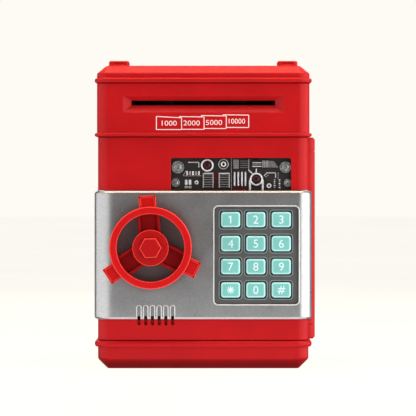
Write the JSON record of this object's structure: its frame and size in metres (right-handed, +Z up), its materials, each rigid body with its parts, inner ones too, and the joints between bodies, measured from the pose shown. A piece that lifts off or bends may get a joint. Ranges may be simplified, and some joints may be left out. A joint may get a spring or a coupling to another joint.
{
  "type": "toy cash machine savings bank",
  "caption": "Upright toy bank with a hinged keypad door, handwheel latch, motor-fed note slot and coin slot over a cash compartment.",
  "frame": {"origin": "centre of the flat underside of the base", "axes": "+Z up, -Y towards the door's front, +X to the hinge side as seen from the front"},
  "size_m": [0.1321, 0.1217, 0.1841],
  "materials": {
    "red_plastic": "satin red moulded ABS",
    "silver_paint": "silver paint on ABS, soft sheen",
    "dark_plastic": "dark grey moulded plastic",
    "black_plastic": "black moulded plastic",
    "mint_keys": "pale green-blue moulded key",
    "steel": "plated steel",
    "lamp": "dark red tinted lamp",
    "circuit_board": "green circuit board",
    "rubber": "matt rubber roller",
    "battery": "printed battery jacket"
  },
  "bodies": {
    "casing": {"base_cover": "red_plastic", "main_casing": "red_plastic", "note_housing": "red_plastic", "top_cover": "red_plastic", "latch_keeper": "steel", "hinge_pin": "steel", "base_screw_1": "steel", "base_screw_2": "steel", "base_screw_3": "steel", "base_screw_4": "steel", "cash_shelf": "black_plastic", "note_guide": "black_plastic", "bracket_left": "steel", "bracket_right": "steel", "coin_chute": "dark_plastic", "feed_motor": "steel", "main_board": "circuit_board", "board_chip": "black_plastic", "battery_box": "black_plastic", "battery_cell_1": "battery", "battery_cell_2": "battery", "battery_cell_3": "battery"},
    "door": {"door_panel": "red_plastic", "silver_fascia": "silver_paint", "keypad_bezel": "dark_plastic", "keypad_board": "circuit_board", "circuit_relief": "dark_plastic", "led_1": "lamp", "led_2": "lamp", "door_inner_cover": "black_plastic", "speaker": "dark_plastic", "solenoid": "steel", "door_screw_1": "steel", "door_screw_2": "steel", "door_screw_3": "steel", "door_screw_4": "steel"},
    "handwheel": {"handwheel": "red_plastic", "wheel_cap": "red_plastic", "wheel_shaft": "steel"},
    "latch_bolt": {"latch_bolt": "steel"},
    "solenoid_plunger": {"solenoid_plunger": "steel"},
    "key_1": {"key_1": "mint_keys"},
    "key_2": {"key_2": "mint_keys"},
    "key_3": {"key_3": "mint_keys"},
    "key_4": {"key_4": "mint_keys"},
    "key_5": {"key_5": "mint_keys"},
    "key_6": {"key_6": "mint_keys"},
    "key_7": {"key_7": "mint_keys"},
    "key_8": {"key_8": "mint_keys"},
    "key_9": {"key_9": "mint_keys"},
    "key_star": {"key_star": "mint_keys"},
    "key_0": {"key_0": "mint_keys"},
    "key_hash": {"key_hash": "mint_keys"},
    "motor_shaft": {"motor_pinion": "steel"},
    "drive_roller": {"drive_roller": "rubber"},
    "idler_roller": {"idler_roller": "rubber"},
    "battery_hatch": {"battery_hatch": "red_plastic", "battery_hatch_screw": "steel"}
  },
  "joints": [
    {"name": "door_hinge", "type": "hinge", "parent": "casing", "child": "door", "pos_m": [0.0626, -0.038, 0.0777], "axis": [0, 0, 1], "range_deg": [0, 110]},
    {"name": "wheel_turn", "type": "hinge", "parent": "door", "child": "handwheel", "pos_m": [-0.0311, -0.054, 0.0726], "axis": [0, -1, 0], "range_deg": [0, 90]},
    {"name": "bolt_slide", "type": "slide", "parent": "door", "child": "latch_bolt", "axis": [-1, 0, 0], "range_m": [0, 0.00505]},
    {"name": "plunger_slide", "type": "slide", "parent": "door", "child": "solenoid_plunger", "axis": [0, 0, -1], "range_m": [0, 0.0026], "stiffness_N_per_m": 20, "springref_m": -0.004},
    {"name": "key_1_press", "type": "slide", "parent": "door", "child": "key_1", "axis": [0, 1, 0], "range_m": [0, 0.001], "stiffness_N_per_m": 250, "springref_m": -0.0004},
    {"name": "key_2_press", "type": "slide", "parent": "door", "child": "key_2", "axis": [0, 1, 0], "range_m": [0, 0.001], "stiffness_N_per_m": 250, "springref_m": -0.0004},
    {"name": "key_3_press", "type": "slide", "parent": "door", "child": "key_3", "axis": [0, 1, 0], "range_m": [0, 0.001], "stiffness_N_per_m": 250, "springref_m": -0.0004},
    {"name": "key_4_press", "type": "slide", "parent": "door", "child": "key_4", "axis": [0, 1, 0], "range_m": [0, 0.001], "stiffness_N_per_m": 250, "springref_m": -0.0004},
    {"name": "key_5_press", "type": "slide", "parent": "door", "child": "key_5", "axis": [0, 1, 0], "range_m": [0, 0.001], "stiffness_N_per_m": 250, "springref_m": -0.0004},
    {"name": "key_6_press", "type": "slide", "parent": "door", "child": "key_6", "axis": [0, 1, 0], "range_m": [0, 0.001], "stiffness_N_per_m": 250, "springref_m": -0.0004},
    {"name": "key_7_press", "type": "slide", "parent": "door", "child": "key_7", "axis": [0, 1, 0], "range_m": [0, 0.001], "stiffness_N_per_m": 250, "springref_m": -0.0004},
    {"name": "key_8_press", "type": "slide", "parent": "door", "child": "key_8", "axis": [0, 1, 0], "range_m": [0, 0.001], "stiffness_N_per_m": 250, "springref_m": -0.0004},
    {"name": "key_9_press", "type": "slide", "parent": "door", "child": "key_9", "axis": [0, 1, 0], "range_m": [0, 0.001], "stiffness_N_per_m": 250, "springref_m": -0.0004},
    {"name": "key_star_press", "type": "slide", "parent": "door", "child": "key_star", "axis": [0, 1, 0], "range_m": [0, 0.001], "stiffness_N_per_m": 250, "springref_m": -0.0004},
    {"name": "key_0_press", "type": "slide", "parent": "door", "child": "key_0", "axis": [0, 1, 0], "range_m": [0, 0.001], "stiffness_N_per_m": 250, "springref_m": -0.0004},
    {"name": "key_hash_press", "type": "slide", "parent": "door", "child": "key_hash", "axis": [0, 1, 0], "range_m": [0, 0.001], "stiffness_N_per_m": 250, "springref_m": -0.0004},
    {"name": "motor_spin", "type": "hinge", "parent": "casing", "child": "motor_shaft", "pos_m": [0.045, -0.01768, 0.1485], "axis": [1, 0, 0], "continuous": true},
    {"name": "drive_roller_spin", "type": "hinge", "parent": "casing", "child": "drive_roller", "pos_m": [0, -0.03, 0.1535], "axis": [1, 0, 0], "continuous": true},
    {"name": "idler_roller_spin", "type": "hinge", "parent": "casing", "child": "idler_roller", "pos_m": [0, -0.03, 0.1628], "axis": [1, 0, 0], "continuous": true},
    {"name": "battery_hatch_off", "type": "slide", "parent": "casing", "child": "battery_hatch", "axis": [0, 1, 0], "range_m": [0, 0.03]}
  ],
  "couplings": [
    {"joint": "bolt_slide", "follows": "wheel_turn", "m_per_rad": 0.0032},
    {"joint": "drive_roller_spin", "follows": "motor_spin", "ratio": -0.35714},
    {"joint": "idler_roller_spin", "follows": "motor_spin", "ratio": 0.44643}
  ]
}
